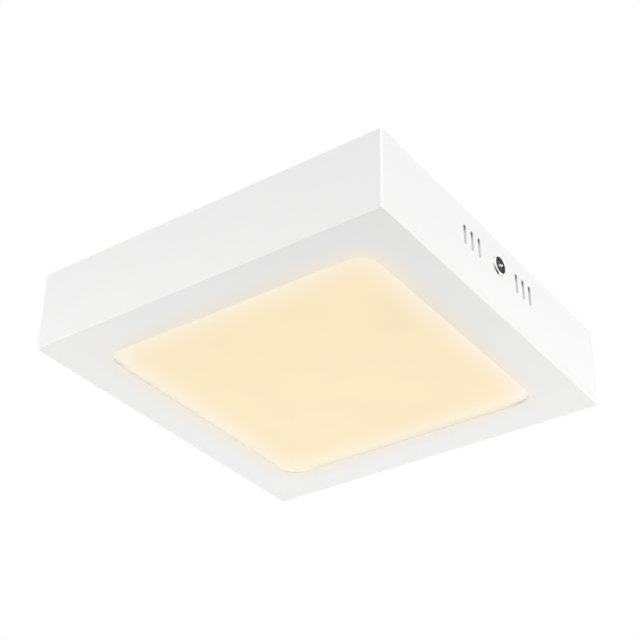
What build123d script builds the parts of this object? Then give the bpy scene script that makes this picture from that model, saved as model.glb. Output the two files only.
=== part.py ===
from build123d import *
import os

# Square surface-mounted LED ceiling light, in millimetres, +Z up.
# The origin is the middle of the ceiling plane, which the housing's walls and the bracket's back both
# meet, and the light shines towards -Z. The walls with vents and screws face +X and -X.

# Housing, a die-cast frame that is open towards the ceiling
width = 170.0
height = 37.0
rim = 20.0
opening_radius = 8.0
wall = 1.8
flange = 1.5
corner_radius = 1.0
inner_corner_radius = 2.5
front_edge_radius = 0.5

# Row of vent slots and one screw hole in each side wall
row_depth = 13.0
vent_count = 3
vent_width = 1.8
vent_length = 9.2
vent_pitch = 5.5
vent_start = 15.0
wall_hole_clearance = 0.3

# Edge-lit stack behind the opening, and the tray wall round it
guide_lap = 3.5
diffuser_thickness = 1.5
guide_thickness = 3.0
reflector_thickness = 0.3
foam_thickness = 2.0
stack_corner = 9.0
tray_wall = 1.5
tray_radius = 3.0
tray_clearance = 0.2

# LED strips on the inside of the tray wall
strip_thickness = 1.0
strip_end_gap = 4.5
strip_clearance = 0.7
led_count = 15
led_width = 3.5
led_depth = 0.8
led_gap = 0.2
led_margin = 0.1
led_end = 8.5
link_thickness = 0.5
link_height = 1.2
link_lap = 4.5
link_corner = 5.0
link_levels = (0.6, 2.6)

# Back plate, and the screws that hold it on the housing's bosses
plate_thickness = 1.0
plate_clearance = 0.8
plate_radius = 3.0
plate_screw_diameter = 3.0
plate_screw_length = 6.0
plate_head_diameter = 5.6
plate_head_height = 2.0
plate_hole_clearance = 0.25
thread_clearance = 0.05
boss_diameter = 6.5
boss_web = 2.0
boss_tip_room = 0.8

# Burred holes of the back plate, tapped for the terminal and earth screws
burr_wall = 1.0
burr_depth = 1.2
burr_tip = 0.3
burr_room = 1.5

# Mounting bracket, a steel strip with two bent ears
bracket_width = 24.0
bracket_thickness = 1.5
bracket_bend = 1.0
ear_clearance = 0.4
ear_end = 7.0
ear_radius = 7.0
collar_wall = 1.5
collar_length = 1.5
slot_spacing = 76.0
slot_width = 5.0
slot_length = 16.0
cable_hole = 16.0
bead_length = 18.0
bead_width = 7.0
bead_depth = 0.9
bead_draft = 1.2

# Side screws and their washers
side_screw_diameter = 3.9
side_screw_length = 8.0
side_head_diameter = 7.6
side_head_height = 0.8
side_head_chamfer = 0.15
side_tip_chamfer = 0.4
recess_span = 4.4
recess_width = 0.9
recess_depth = 0.6
recess_taper = 12.0
washer_diameter = 8.6
washer_thickness = 0.3
washer_clearance = 0.2

# Driver, whose case is as large as its board and tallest part need
bracket_to_driver = 15.0
tape_thickness = 1.0
tape_inset = 6.0
driver_wall = 1.6
driver_radius = 2.5
driver_headroom = 0.8
cover_height = 6.0
lip_thickness = 1.2
lip_depth = 3.5
lid_clearance = 0.2
snap_length = 8.0
snap_height = 1.6
snap_depth = 0.9
snap_clearance = 0.2
snap_spacing = 44.0
board_width = 34.0
board_thickness = 1.6
board_clearance = 0.4
board_standoff = 2.5
post_width = 4.0
post_inset = 3.0

# Parts on the driver's board, in a row along X
lead_landing = 8.0
part_gap = 2.4
fuse_diameter = 3.4
fuse_length = 10.0
film_length = 6.0
film_width = 13.0
film_height = 10.5
choke_diameter = 8.0
choke_height = 9.0
input_capacitor_diameter = 10.0
input_capacitor_height = 13.0
output_capacitor_diameter = 8.0
output_capacitor_height = 12.0
can_chamfer = 0.8
core_length = 17.0
core_height = 13.5
core_thickness = 5.0
core_leg = 2.2
core_middle_leg = 4.2
coil_clearance = 0.2
coil_overhang = 5.0
coil_round = 1.5
foot_length = 2.4
chip_length = 5.0
chip_width = 4.0
chip_height = 1.6
rectifier_length = 6.5
rectifier_width = 5.0
rectifier_height = 1.8

# Push-in terminal block for the mains cable
terminal_poles = 3
terminal_pitch = 9.0
terminal_length = 20.0
terminal_roof = 7.3
entry_land = 0.7
terminal_slope = 3.0
bracket_to_terminal = 6.5
entry_clearance = 0.5
entry_funnel = 0.8
contact_length = 10.0
contact_width = 3.0
contact_thickness = 0.8
contact_stop = 2.4
chamber_clearance = 0.1
chamber_height = 2.2
terminal_screw_diameter = 3.0
terminal_head_diameter = 5.6
terminal_head_height = 2.0
terminal_head_depth = 3.2
terminal_hole_clearance = 0.2
test_slot_length = 2.6
test_slot_width = 1.0
test_slot_depth = 2.0
test_slot_spacing = 10.0

# Leads
lead_diameter = 2.0
lead_clearance = 0.1
lead_sides = 8
lead_pitch = 4.0
lead_end_gap = 0.6
output_lead_diameter = 1.6
output_lead_pitch = 2.0
pad_inset = 2.7
pad_depth = 1.8
bush_wall = 0.7
bush_flange = 1.2
bush_height = 1.2
input_loop = 14.0
input_loop_step = 5.0
input_bend = 11.0
output_run = 4.0
output_shift = 1.2
drop_run = 9.5
output_bend = 7.0
drop_bend = 4.5

# Protective earth on the back plate
earth_edge = 7.5
earth_reach = 24.0
earth_screw_diameter = 4.0
earth_head_diameter = 7.0
earth_head_height = 2.4
earth_ring_diameter = 8.0
earth_ring_thickness = 0.8
earth_neck_width = 3.0
earth_neck_length = 1.6
earth_barrel_wall = 0.8
earth_barrel_length = 6.0
earth_washer_thickness = 0.6
earth_hole_clearance = 0.2
earth_teeth = 8
earth_tooth_gap = 1.0
earth_lead_bend = 4.0
earth_lead_run = 3.5
earth_lead_fall = 6.0

# Planes and faces that several pieces share
half = width / 2
opening = width - 2 * rim
inner = half - wall
floor_z = flange - height
guide = opening + 2 * guide_lap
strip_face = guide / 2 + led_gap + led_depth
tray_inner = strip_face + strip_thickness
tray_outer = tray_inner + tray_wall
guide_z = floor_z + diffuser_thickness
reflector_z = guide_z + guide_thickness
foam_z = reflector_z + reflector_thickness
plate_z = foam_z + foam_thickness
plate_top = plate_z + plate_thickness
row_z = -row_depth
strip_half = tray_inner - strip_end_gap
strip_height = plate_z - guide_z - strip_clearance

boss_offset = (tray_outer + inner) / 2
boss_points = [
    (boss_offset * column, boss_offset * row)
    for column in (-1, 0, 1)
    for row in (-1, 0, 1)
    if column or row
]

# Driver: the row of parts sets the board's length, and the tallest part sets the case's height
row_widths = {
    "fuse": fuse_diameter,
    "film": film_length,
    "choke": choke_diameter,
    "input": input_capacitor_diameter,
    "transformer": core_length,
    "output": output_capacitor_diameter,
}
board_length = 2 * lead_landing + sum(row_widths.values()) + part_gap * (len(row_widths) - 1)
row_x = {}
row_edge = lead_landing - board_length / 2
for part_name, part_width in row_widths.items():
    row_x[part_name] = row_edge + part_width / 2
    row_edge += part_width + part_gap
tallest = max(film_height, choke_height, input_capacitor_height, output_capacitor_height, core_height)

driver_y = -(bracket_width / 2 + bracket_to_driver + driver_wall + board_clearance + board_width / 2)
driver_z = plate_top + tape_thickness
bay_length = board_length + 2 * board_clearance
bay_width = board_width + 2 * board_clearance
driver_length = bay_length + 2 * driver_wall
driver_width = bay_width + 2 * driver_wall
board_z = driver_z + driver_wall + board_standoff
board_top = board_z + board_thickness
driver_top = board_top + tallest + driver_headroom + driver_wall
parting_z = driver_top - cover_height
snap_z = parting_z - lip_depth / 2

# Terminal block: its wire channels lie at the height of the leads on the driver's board, and the earth
# point lies between it and the LED strip at the plate's edge
earth_x = earth_edge - strip_face
terminal_face = earth_x + earth_reach
terminal_x = terminal_face + terminal_length / 2
lead_z = board_top + lead_diameter / 2
terminal_width = terminal_pitch * terminal_poles
terminal_y = bracket_width / 2 + bracket_to_terminal + terminal_width / 2
terminal_top = lead_z + terminal_roof
pole_ys = [terminal_y + terminal_pitch * (pole - (terminal_poles - 1) / 2) for pole in range(terminal_poles)]
fixing_ys = [(low + high) / 2 for low, high in zip(pole_ys, pole_ys[1:])]
fixing_points = [(terminal_x, y) for y in fixing_ys]
contact_z = lead_z - lead_diameter / 2 - contact_thickness
lead_stop = terminal_x - contact_thickness / 2 - lead_end_gap

# Earth point, in line with the last pole of the terminal block
earth_y = pole_ys[-1]
barrel_radius = lead_diameter / 2 + thread_clearance + earth_barrel_wall
barrel_x = earth_x + earth_ring_diameter / 2 + earth_neck_length
barrel_z = plate_top + barrel_radius
earth_stack = earth_ring_thickness + earth_washer_thickness

# Output leads, which drop through the bush to the end of the right LED strip
bush_x = strip_face - output_lead_diameter / 2
bush_y = pad_inset - strip_half
bush_bore = output_lead_diameter + 2 * lead_clearance
bush_barrel = bush_bore + 2 * bush_wall
output_z = board_top + output_lead_diameter / 2
output_ys = {"positive": -output_lead_pitch / 2, "negative": output_lead_pitch / 2}
input_ys = {"live": driver_y - lead_pitch / 2, "neutral": driver_y + lead_pitch / 2}

# Places of the tapped burrs, each with its tapped radius
tapped_points = [(point, terminal_screw_diameter / 2 + thread_clearance) for point in fixing_points]
tapped_points.append(((earth_x, earth_y), earth_screw_diameter / 2 + thread_clearance))


def save(piece, label):
    """Label a finished piece and write its STEP file."""
    piece.part.label = label
    export_step(piece.part, f"parts/{label}.step")


def pan_screw(shank_diameter, shank_length, head_diameter, head_height):
    """A pan-head screw standing on the XY plane by the face under its head, with its shank below."""
    with BuildPart() as screw:
        with BuildSketch():
            Circle(head_diameter / 2)
        extrude(amount=head_height)
        with BuildSketch():
            Circle(shank_diameter / 2)
        extrude(amount=-shank_length)
    return screw.part


def can_capacitor(diameter, can_height):
    """An upright capacitor standing on the XY plane: a can with a chamfered top."""
    with BuildPart() as can:
        with BuildSketch():
            Circle(diameter / 2)
        extrude(amount=can_height)
        chamfer(can.faces().sort_by(Axis.Z)[-1].edges(), can_chamfer)
    return can.part


os.makedirs("parts", exist_ok=True)

# Housing: walls, front rim with its opening, tray wall, webbed bosses, vents and screw holes
with BuildPart() as housing:
    with BuildSketch(Plane.XY.offset(-height)):
        RectangleRounded(2 * half, 2 * half, corner_radius)
    extrude(amount=height)
    fillet(housing.faces().sort_by(Axis.Z)[0].edges(), front_edge_radius)
    with BuildSketch(Plane.XY.offset(floor_z)):
        RectangleRounded(2 * inner, 2 * inner, inner_corner_radius)
    extrude(amount=-floor_z, mode=Mode.SUBTRACT)
    with BuildSketch(Plane.XY.offset(floor_z)):
        RectangleRounded(2 * tray_outer, 2 * tray_outer, tray_radius + tray_wall)
        RectangleRounded(2 * tray_inner, 2 * tray_inner, tray_radius, mode=Mode.SUBTRACT)
        with Locations(*boss_points):
            Circle(boss_diameter / 2)
        with PolarLocations((boss_offset + inner) / 2, 4):
            Rectangle(inner - boss_offset, boss_web)
    extrude(amount=plate_z - floor_z)
    with BuildSketch(Plane.XY.offset(plate_z)):
        with Locations(*boss_points):
            Circle(plate_screw_diameter / 2 + thread_clearance)
    extrude(amount=plate_thickness - plate_screw_length - boss_tip_room, mode=Mode.SUBTRACT)
    with BuildSketch(Plane.XY.offset(floor_z)):
        RectangleRounded(opening, opening, opening_radius)
    extrude(amount=-flange, mode=Mode.SUBTRACT)
    with BuildSketch(Plane.YZ):
        with Locations((0, row_z)):
            Circle(side_screw_diameter / 2 + wall_hole_clearance)
        for vent in range(vent_count):
            vent_y = vent_start + vent * vent_pitch
            with Locations((vent_y, row_z), (-vent_y, row_z)):
                SlotOverall(vent_length, vent_width, rotation=90)
    extrude(amount=half, both=True, mode=Mode.SUBTRACT)
save(housing, "housing")

# Diffuser: an opal sheet lying on the back of the front rim
with BuildPart() as diffuser:
    diffuser_side = 2 * (tray_inner - tray_clearance)
    with BuildSketch(Plane.XY.offset(floor_z)):
        RectangleRounded(diffuser_side, diffuser_side, tray_radius)
    extrude(amount=diffuser_thickness)
save(diffuser, "diffuser")

# Light guide: clear plate with cut corners, where the leads and links pass
with BuildPart() as light_guide:
    with BuildSketch(Plane.XY.offset(guide_z)) as guide_outline:
        Rectangle(guide, guide)
        chamfer(guide_outline.vertices(), stack_corner)
    extrude(amount=guide_thickness)
save(light_guide, "light_guide")

# Reflector sheet on the back of the guide
with BuildPart() as reflector_sheet:
    with BuildSketch(Plane.XY.offset(reflector_z)) as reflector_outline:
        Rectangle(guide, guide)
        chamfer(reflector_outline.vertices(), stack_corner)
    extrude(amount=reflector_thickness)
save(reflector_sheet, "reflector_sheet")

# Foam sheet that presses the stack flat, punched where a burr or a screw tip reaches into it
with BuildPart() as foam_sheet:
    with BuildSketch(Plane.XY.offset(foam_z)) as foam_outline:
        Rectangle(guide, guide)
        chamfer(foam_outline.vertices(), stack_corner)
        for point, tapped_radius in tapped_points:
            window = 2 * (tapped_radius + burr_wall + burr_room)
            with Locations(point):
                Rectangle(window, window, mode=Mode.SUBTRACT)
    extrude(amount=foam_thickness)
save(foam_sheet, "foam_sheet")

# LED strips on the four sides of the tray, each with its row of chips facing the guide's edge
led_pitch = 2 * (strip_half - led_end) / (led_count - 1)
for strip_angle, strip_name in ((0, "right"), (90, "back"), (180, "left"), (270, "front")):
    strip_plane = Plane.XY.rotated((0, 0, strip_angle)).offset(guide_z)
    with BuildPart() as led_strip:
        with BuildSketch(strip_plane):
            with Locations((tray_inner - strip_thickness / 2, 0)):
                Rectangle(strip_thickness, 2 * strip_half)
        extrude(amount=strip_height)
    save(led_strip, f"led_strip_{strip_name}")
    with BuildPart() as led_chips:
        with BuildSketch(strip_plane.offset(led_margin)):
            with Locations((strip_face - led_depth / 2, 0)):
                with GridLocations(0, led_pitch, 1, led_count):
                    Rectangle(led_depth, led_width)
        extrude(amount=guide_thickness - 2 * led_margin)
    save(led_chips, f"led_chips_{strip_name}")

# Tinned straps across three corners of the tray, soldered flat along the ends of the strips
link_line = strip_face - link_thickness / 2
link_end = strip_half - link_lap
with BuildPart() as strip_links:
    for link_angle in (0, 90, 180):
        for level in link_levels:
            with BuildSketch(Plane.XY.rotated((0, 0, link_angle)).offset(guide_z + level)):
                with BuildLine():
                    Polyline(
                        (link_line, link_end),
                        (link_line, link_line - link_corner),
                        (link_line - link_corner, link_line),
                        (link_end, link_line),
                    )
                trace(line_width=link_thickness)
            extrude(amount=link_height)
save(strip_links, "strip_links")

# Back plate: sheet metal with clearance holes, a slot for the lead bush and tapped burrs
with BuildPart() as back_plate:
    plate_side = 2 * (inner - plate_clearance)
    with BuildSketch(Plane.XY.offset(plate_z)):
        RectangleRounded(plate_side, plate_side, plate_radius)
        with Locations(*boss_points):
            Circle(plate_screw_diameter / 2 + plate_hole_clearance, mode=Mode.SUBTRACT)
        with Locations((bush_x, bush_y)):
            SlotOverall(
                bush_barrel + output_lead_pitch + 2 * lead_clearance,
                bush_barrel + 2 * lead_clearance,
                rotation=90,
                mode=Mode.SUBTRACT,
            )
    extrude(amount=plate_thickness)
    for point, tapped_radius in tapped_points:
        with BuildSketch(Plane.XY.offset(plate_z)):
            with Locations(point):
                Circle(tapped_radius + burr_wall)
        extrude(amount=-burr_depth)
        with BuildSketch(Plane.XY.offset(plate_top)):
            with Locations(point):
                Circle(tapped_radius)
        extrude(amount=-plate_thickness - burr_depth, mode=Mode.SUBTRACT)
save(back_plate, "back_plate")

# Screws through the back plate into the bosses
plate_screw = pan_screw(plate_screw_diameter, plate_screw_length, plate_head_diameter, plate_head_height)
with BuildPart() as back_plate_screws:
    with Locations(*[(x, y, plate_top) for x, y in boss_points]):
        add(plate_screw)
save(back_plate_screws, "back_plate_screws")

# Adhesive pad between the back plate and the driver
with BuildPart() as driver_tape:
    with BuildSketch(Plane((0, driver_y, plate_top))):
        Rectangle(driver_length - 2 * tape_inset, driver_width - 2 * tape_inset)
    extrude(amount=tape_thickness)
save(driver_tape, "driver_tape")

# Driver case: a tub with board posts, snap windows in its long walls and lead windows in its ends
driver_floor = Plane((0, driver_y, driver_z))
driver_ends = Plane((0, driver_y, 0), x_dir=(0, 1, 0), z_dir=(1, 0, 0))
driver_sides = Plane((0, driver_y, 0), x_dir=(1, 0, 0), z_dir=(0, -1, 0))
with BuildPart() as driver_case:
    with BuildSketch(driver_floor):
        RectangleRounded(driver_length, driver_width, driver_radius)
    extrude(amount=parting_z - driver_z)
    with BuildSketch(driver_floor.offset(driver_wall)):
        Rectangle(bay_length, bay_width)
    extrude(amount=parting_z - driver_z - driver_wall, mode=Mode.SUBTRACT)
    with BuildSketch(driver_floor.offset(driver_wall)):
        with GridLocations(board_length - 2 * post_inset, board_width - 2 * post_inset, 2, 2):
            Rectangle(post_width, post_width)
    extrude(amount=board_standoff)
    with BuildSketch(driver_ends.offset(bay_length / 2)):
        with Locations(*[(y, output_z) for y in output_ys.values()]):
            Rectangle(output_lead_diameter + 2 * lead_clearance, output_lead_diameter + 2 * lead_clearance)
    extrude(amount=driver_wall, mode=Mode.SUBTRACT)
    with BuildSketch(driver_ends.offset(-bay_length / 2)):
        with Locations(*[(y - driver_y, lead_z) for y in input_ys.values()]):
            Rectangle(lead_diameter + 2 * lead_clearance, lead_diameter + 2 * lead_clearance)
    extrude(amount=-driver_wall, mode=Mode.SUBTRACT)
    with BuildSketch(driver_sides):
        with Locations((-snap_spacing / 2, snap_z), (snap_spacing / 2, snap_z)):
            Rectangle(snap_length + 2 * snap_clearance, snap_height + 2 * snap_clearance)
    extrude(amount=driver_width / 2, both=True, mode=Mode.SUBTRACT)
save(driver_case, "driver_case")

# Driver cover: a cap with a lip that drops into the tub and snaps into the windows
lip_length = bay_length - 2 * lid_clearance
lip_width = bay_width - 2 * lid_clearance
with BuildPart() as driver_cover:
    with BuildSketch(driver_floor.offset(parting_z - driver_z)):
        RectangleRounded(driver_length, driver_width, driver_radius)
    extrude(amount=cover_height)
    chamfer(driver_cover.faces().sort_by(Axis.Z)[-1].edges(), driver_wall / 2)
    with BuildSketch(driver_floor.offset(parting_z - driver_z)):
        Rectangle(lip_length, lip_width)
    extrude(amount=-lip_depth)
    with BuildSketch(driver_sides):
        with Locations((-snap_spacing / 2, snap_z), (snap_spacing / 2, snap_z)):
            Rectangle(snap_length, snap_height)
    extrude(amount=lip_width / 2 + snap_depth, both=True)
    with BuildSketch(driver_floor.offset(parting_z - driver_z - lip_depth)):
        Rectangle(lip_length - 2 * lip_thickness, lip_width - 2 * lip_thickness)
    extrude(amount=lip_depth + cover_height - driver_wall, mode=Mode.SUBTRACT)
save(driver_cover, "driver_cover")

# Driver board on the posts of its case
with BuildPart() as driver_board:
    with BuildSketch(Plane((0, driver_y, board_z))):
        Rectangle(board_length, board_width)
    extrude(amount=board_thickness)
save(driver_board, "driver_board")

# Fuse resistor lying across the board
with BuildPart() as fuse_resistor:
    with BuildSketch(Plane((row_x["fuse"], driver_y, board_top), x_dir=(1, 0, 0), z_dir=(0, -1, 0))):
        with Locations((0, fuse_diameter / 2)):
            Circle(fuse_diameter / 2)
    extrude(amount=fuse_length / 2, both=True)
save(fuse_resistor, "fuse_resistor")

# Film capacitor: a potted box with a chamfered top
with BuildPart() as film_capacitor:
    with BuildSketch(Plane((row_x["film"], driver_y, board_top))):
        Rectangle(film_length, film_width)
    extrude(amount=film_height)
    chamfer(film_capacitor.faces().sort_by(Axis.Z)[-1].edges(), can_chamfer)
save(film_capacitor, "film_capacitor")

# Filter choke: a wound drum core in its shrink sleeve
with BuildPart() as filter_choke:
    with BuildSketch(Plane((row_x["choke"], driver_y, board_top))):
        Circle(choke_diameter / 2)
    extrude(amount=choke_height)
save(filter_choke, "filter_choke")

# Smoothing capacitors before and after the transformer
for can_name, can_diameter, can_height in (
    ("input", input_capacitor_diameter, input_capacitor_height),
    ("output", output_capacitor_diameter, output_capacitor_height),
):
    with BuildPart() as capacitor:
        with Locations((row_x[can_name], driver_y, board_top)):
            add(can_capacitor(can_diameter, can_height))
    save(capacitor, f"{can_name}_capacitor")

# Transformer core: two E-shaped halves as one ferrite frame with a middle leg
window_width = (core_length - core_middle_leg) / 2 - core_leg
window_height = core_height - 2 * core_leg
core_x = row_x["transformer"]
with BuildPart() as transformer_core:
    with BuildSketch(Plane((core_x, driver_y, board_top), x_dir=(1, 0, 0), z_dir=(0, -1, 0))):
        with Locations((0, core_height / 2)):
            Rectangle(core_length, core_height)
            with GridLocations(core_middle_leg + window_width, 0, 2, 1):
                Rectangle(window_width, window_height, mode=Mode.SUBTRACT)
    extrude(amount=core_thickness / 2, both=True)
save(transformer_core, "transformer_core")

# Transformer coil: the wound bobbin round the middle leg, standing on feet beside the core
with BuildPart() as transformer_coil:
    coil_length = core_middle_leg + 2 * (window_width - coil_clearance)
    coil_width = core_thickness + 2 * coil_overhang
    coil_z = board_top + core_leg + coil_clearance
    with BuildSketch(Plane((core_x, driver_y, coil_z))):
        RectangleRounded(coil_length, coil_width, coil_round)
        Rectangle(
            core_middle_leg + 2 * coil_clearance, core_thickness + 2 * coil_clearance, mode=Mode.SUBTRACT
        )
    extrude(amount=window_height - 2 * coil_clearance)
    with BuildSketch(Plane((core_x, driver_y, board_top))):
        with GridLocations(0, coil_width - foot_length, 1, 2):
            Rectangle(coil_length - 2 * coil_round, foot_length)
    extrude(amount=coil_z - board_top)
save(transformer_coil, "transformer_coil")

# Flat chips soldered to the underside of the board
for chip_name, chip_x, chip_size in (
    ("rectifier", row_x["film"], (rectifier_length, rectifier_width, rectifier_height)),
    ("controller_chip", core_x, (chip_length, chip_width, chip_height)),
):
    with BuildPart() as flat_chip:
        with BuildSketch(Plane((chip_x, driver_y, board_z))):
            Rectangle(chip_size[0], chip_size[1])
        extrude(amount=-chip_size[2])
    save(flat_chip, chip_name)

# Terminal block: a moulded body with sloped shoulders, wire channels, contact chambers and two fixing holes
terminal_side = Plane((terminal_x, terminal_y, plate_top), x_dir=(1, 0, 0), z_dir=(0, -1, 0))
terminal_end = Plane((terminal_x, 0, lead_z), x_dir=(0, 1, 0), z_dir=(1, 0, 0))
entry_radius = lead_diameter / 2 + entry_clearance
shoulder_z = lead_z + entry_radius + entry_funnel + entry_land - plate_top
with BuildPart() as terminal_block:
    with BuildSketch(terminal_side):
        with BuildLine():
            Polyline(
                (-terminal_length / 2, 0),
                (terminal_length / 2, 0),
                (terminal_length / 2, shoulder_z),
                (terminal_length / 2 - terminal_slope, terminal_top - plate_top),
                (terminal_slope - terminal_length / 2, terminal_top - plate_top),
                (-terminal_length / 2, shoulder_z),
                close=True,
            )
        make_face()
    extrude(amount=terminal_width / 2, both=True)
    with BuildSketch(terminal_end):
        with Locations(*[(y, 0) for y in pole_ys]):
            Rectangle(2 * entry_radius, 2 * entry_radius)
    extrude(amount=terminal_length / 2, both=True, mode=Mode.SUBTRACT)
    terminal_faces = terminal_block.faces().sort_by(Axis.X)
    entry_wires = terminal_faces[0].inner_wires() + terminal_faces[-1].inner_wires()
    chamfer(entry_wires.edges(), entry_funnel)
    with BuildSketch(Plane.XY.offset(contact_z)):
        with Locations(*[(terminal_x, y) for y in pole_ys]):
            Rectangle(contact_length + 2 * chamber_clearance, contact_width + 2 * chamber_clearance)
    extrude(amount=lead_z + chamber_height - contact_z, mode=Mode.SUBTRACT)
    with Locations(*[(x, y, terminal_top) for x, y in fixing_points]):
        CounterBoreHole(
            terminal_screw_diameter / 2 + terminal_hole_clearance,
            terminal_head_diameter / 2 + terminal_hole_clearance,
            terminal_head_depth,
        )
    with BuildSketch(Plane.XY.offset(terminal_top)):
        with Locations((terminal_x, terminal_y)):
            with GridLocations(test_slot_spacing, terminal_pitch, 2, terminal_poles):
                Rectangle(test_slot_length, test_slot_width)
    extrude(amount=-test_slot_depth, mode=Mode.SUBTRACT)
save(terminal_block, "terminal_block")

# Brass contacts: a bus bar for each pole, with a stop between its two wires
with BuildPart() as terminal_contacts:
    with BuildSketch(Plane.XY.offset(contact_z)):
        with Locations(*[(terminal_x, y) for y in pole_ys]):
            Rectangle(contact_length, contact_width)
    extrude(amount=contact_thickness)
    with BuildSketch(Plane.XY.offset(contact_z)):
        with Locations(*[(terminal_x, y) for y in pole_ys]):
            Rectangle(contact_thickness, contact_width)
    extrude(amount=contact_thickness + contact_stop)
save(terminal_contacts, "terminal_contacts")

# Screws that hold the terminal block on the plate's burrs
terminal_seat = terminal_top - terminal_head_depth
terminal_screw = pan_screw(
    terminal_screw_diameter,
    terminal_seat - plate_z + burr_depth + burr_tip,
    terminal_head_diameter,
    terminal_head_height,
)
with BuildPart() as terminal_screws:
    with Locations(*[(x, y, terminal_seat) for x, y in fixing_points]):
        add(terminal_screw)
save(terminal_screws, "terminal_screws")

# Earth ring: a crimped ring terminal flat on the back plate
with BuildPart() as earth_ring:
    neck_length = barrel_x + earth_barrel_length - earth_x
    with BuildSketch(Plane((earth_x, earth_y, plate_top))):
        Circle(earth_ring_diameter / 2)
        with Locations((neck_length / 2, 0)):
            Rectangle(neck_length, earth_neck_width)
        Circle(earth_screw_diameter / 2 + earth_hole_clearance, mode=Mode.SUBTRACT)
    extrude(amount=earth_ring_thickness)
    with BuildSketch(Plane((barrel_x, earth_y, barrel_z), x_dir=(0, 1, 0), z_dir=(1, 0, 0))):
        Circle(barrel_radius)
    extrude(amount=earth_barrel_length)
    with BuildSketch(Plane((barrel_x, earth_y, barrel_z), x_dir=(0, 1, 0), z_dir=(1, 0, 0))):
        Circle(barrel_radius - earth_barrel_wall)
    extrude(amount=earth_barrel_length, mode=Mode.SUBTRACT)
save(earth_ring, "earth_ring")

# Toothed washer under the head of the earth screw
with BuildPart() as earth_washer:
    with BuildSketch(Plane((earth_x, earth_y, plate_top + earth_ring_thickness))):
        Circle(earth_ring_diameter / 2)
        Circle(earth_screw_diameter / 2 + earth_hole_clearance, mode=Mode.SUBTRACT)
        with PolarLocations(earth_ring_diameter / 2, earth_teeth):
            Rectangle(earth_tooth_gap, earth_tooth_gap, mode=Mode.SUBTRACT)
    extrude(amount=earth_washer_thickness)
save(earth_washer, "earth_washer")

# Earth screw into its burr
with BuildPart() as earth_screw:
    with Locations((earth_x, earth_y, plate_top + earth_stack)):
        add(
            pan_screw(
                earth_screw_diameter,
                earth_stack + plate_thickness + burr_depth + burr_tip,
                earth_head_diameter,
                earth_head_height,
            )
        )
save(earth_screw, "earth_screw")

# Lead bush: an oblong collar that guards the output leads in the back plate's slot
with BuildPart() as lead_bush:
    with BuildSketch(Plane((bush_x, bush_y, plate_z))):
        SlotOverall(bush_barrel + output_lead_pitch, bush_barrel, rotation=90)
    extrude(amount=plate_thickness)
    with BuildSketch(Plane((bush_x, bush_y, plate_top))):
        bush_outer = bush_barrel + 2 * bush_flange
        SlotOverall(bush_outer + output_lead_pitch, bush_outer, rotation=90)
    extrude(amount=bush_height)
    with BuildSketch(Plane((bush_x, bush_y, plate_z))):
        SlotOverall(bush_bore + output_lead_pitch, bush_bore, rotation=90)
    extrude(amount=plate_thickness + bush_height, mode=Mode.SUBTRACT)
save(lead_bush, "lead_bush")

# Leads: insulated wires, each a list of points with the bend radius at its corners
driver_end = driver_length / 2
landing_x = board_length / 2 - lead_landing / 2
neutral_x = min(-driver_end, terminal_face) - input_loop
live_x = neutral_x - input_loop_step
lead_routes = {
    "input_lead_live": (
        lead_diameter,
        [input_bend, input_bend],
        [
            (-landing_x, input_ys["live"], lead_z),
            (live_x, input_ys["live"], lead_z),
            (live_x, pole_ys[1], lead_z),
            (lead_stop, pole_ys[1], lead_z),
        ],
    ),
    "input_lead_neutral": (
        lead_diameter,
        [input_bend, input_bend],
        [
            (-landing_x, input_ys["neutral"], lead_z),
            (neutral_x, input_ys["neutral"], lead_z),
            (neutral_x, pole_ys[0], lead_z),
            (lead_stop, pole_ys[0], lead_z),
        ],
    ),
    "earth_lead": (
        lead_diameter,
        [earth_lead_bend, earth_lead_bend],
        [
            (lead_stop, earth_y, lead_z),
            (terminal_face - earth_lead_run, earth_y, lead_z),
            (terminal_face - earth_lead_run - earth_lead_fall, earth_y, barrel_z),
            (barrel_x, earth_y, barrel_z),
        ],
    ),
}
for pole_name, pole_offset in output_ys.items():
    start_y = driver_y + pole_offset
    end_y = bush_y + pole_offset
    pole_shift = output_shift * pole_offset / output_lead_pitch
    lead_routes[f"output_lead_{pole_name}"] = (
        output_lead_diameter,
        [output_bend, output_bend, drop_bend],
        [
            (landing_x, start_y, output_z),
            (driver_end + output_run + pole_shift, start_y, output_z),
            (bush_x - drop_run + pole_shift, end_y, output_z),
            (bush_x, end_y, output_z),
            (bush_x, end_y, guide_z + pad_depth),
        ],
    )
for lead_name, (wire_diameter, bends, points) in lead_routes.items():
    with BuildPart() as lead:
        with BuildLine() as lead_route:
            FilletPolyline(*points, radius=bends)
        with BuildSketch(Plane(lead_route.line @ 0, z_dir=lead_route.line % 0)):
            RegularPolygon(wire_diameter / 2, lead_sides)
        sweep(path=lead_route.line)
    save(lead, lead_name)

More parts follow.
